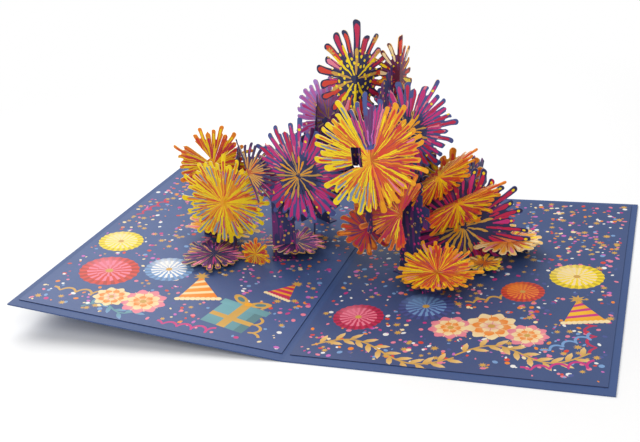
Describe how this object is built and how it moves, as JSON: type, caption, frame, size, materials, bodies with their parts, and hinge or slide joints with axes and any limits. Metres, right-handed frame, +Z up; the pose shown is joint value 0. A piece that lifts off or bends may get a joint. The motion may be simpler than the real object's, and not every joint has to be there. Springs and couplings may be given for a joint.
{
  "type": "pop-up greeting card",
  "caption": "Opened pop-up greeting card whose two pages lift a firework of folded, slotted paper bursts above the spine.",
  "frame": {"origin": "on the table under the middle of the spine crease", "axes": "+X to the right page that lies flat, +Y along the spine to the back of the card, +Z up"},
  "size_m": [0.2532, 0.178, 0.1167],
  "materials": {
    "cover_card": "satin",
    "printed_insert": "satin",
    "navy_sheet": "matte",
    "yellow_print": "satin",
    "orange_print": "satin",
    "magenta_print": "satin",
    "crimson_print": "satin",
    "violet_print": "satin",
    "peach_print": "satin"
  },
  "bodies": {
    "root": {"cover": "cover_card", "crimson_burst_behind_crown": "crimson_print", "crimson_burst_crown": "crimson_print", "cross_fold_back": "navy_sheet", "cross_fold_front": "navy_sheet", "gold_burst_low_right": "yellow_print", "insert_left": "printed_insert", "insert_right": "printed_insert", "lilac_burst_top": "magenta_print", "magenta_burst_back_left": "magenta_print", "magenta_burst_left": "magenta_print", "magenta_burst_right": "magenta_print", "magenta_burst_top_right": "magenta_print", "orange_burst_back_right": "orange_print", "orange_burst_centre_right": "orange_print", "orange_burst_left": "orange_print", "orange_burst_lower_right": "orange_print", "orange_burst_small": "orange_print", "orange_burst_upper_right": "orange_print", "peach_burst_low_left": "peach_print", "peach_burst_low_right": "peach_print", "rib_left_centre": "navy_sheet", "rib_left_wing": "navy_sheet", "rib_right_centre": "navy_sheet", "rib_right_wing": "navy_sheet", "riser_gold_right": "navy_sheet", "riser_low_centre": "navy_sheet", "riser_low_left": "navy_sheet", "riser_peach_left": "navy_sheet", "riser_peach_right": "navy_sheet", "riser_yellow_right": "navy_sheet", "russet_burst_centre": "orange_print", "violet_burst_low_centre": "violet_print", "violet_burst_low_left": "violet_print", "violet_fan_burst": "violet_print", "yellow_burst_back_centre": "yellow_print", "yellow_burst_centre": "yellow_print", "yellow_burst_left": "yellow_print", "yellow_burst_low_right": "yellow_print"}
  },
  "joints": []
}
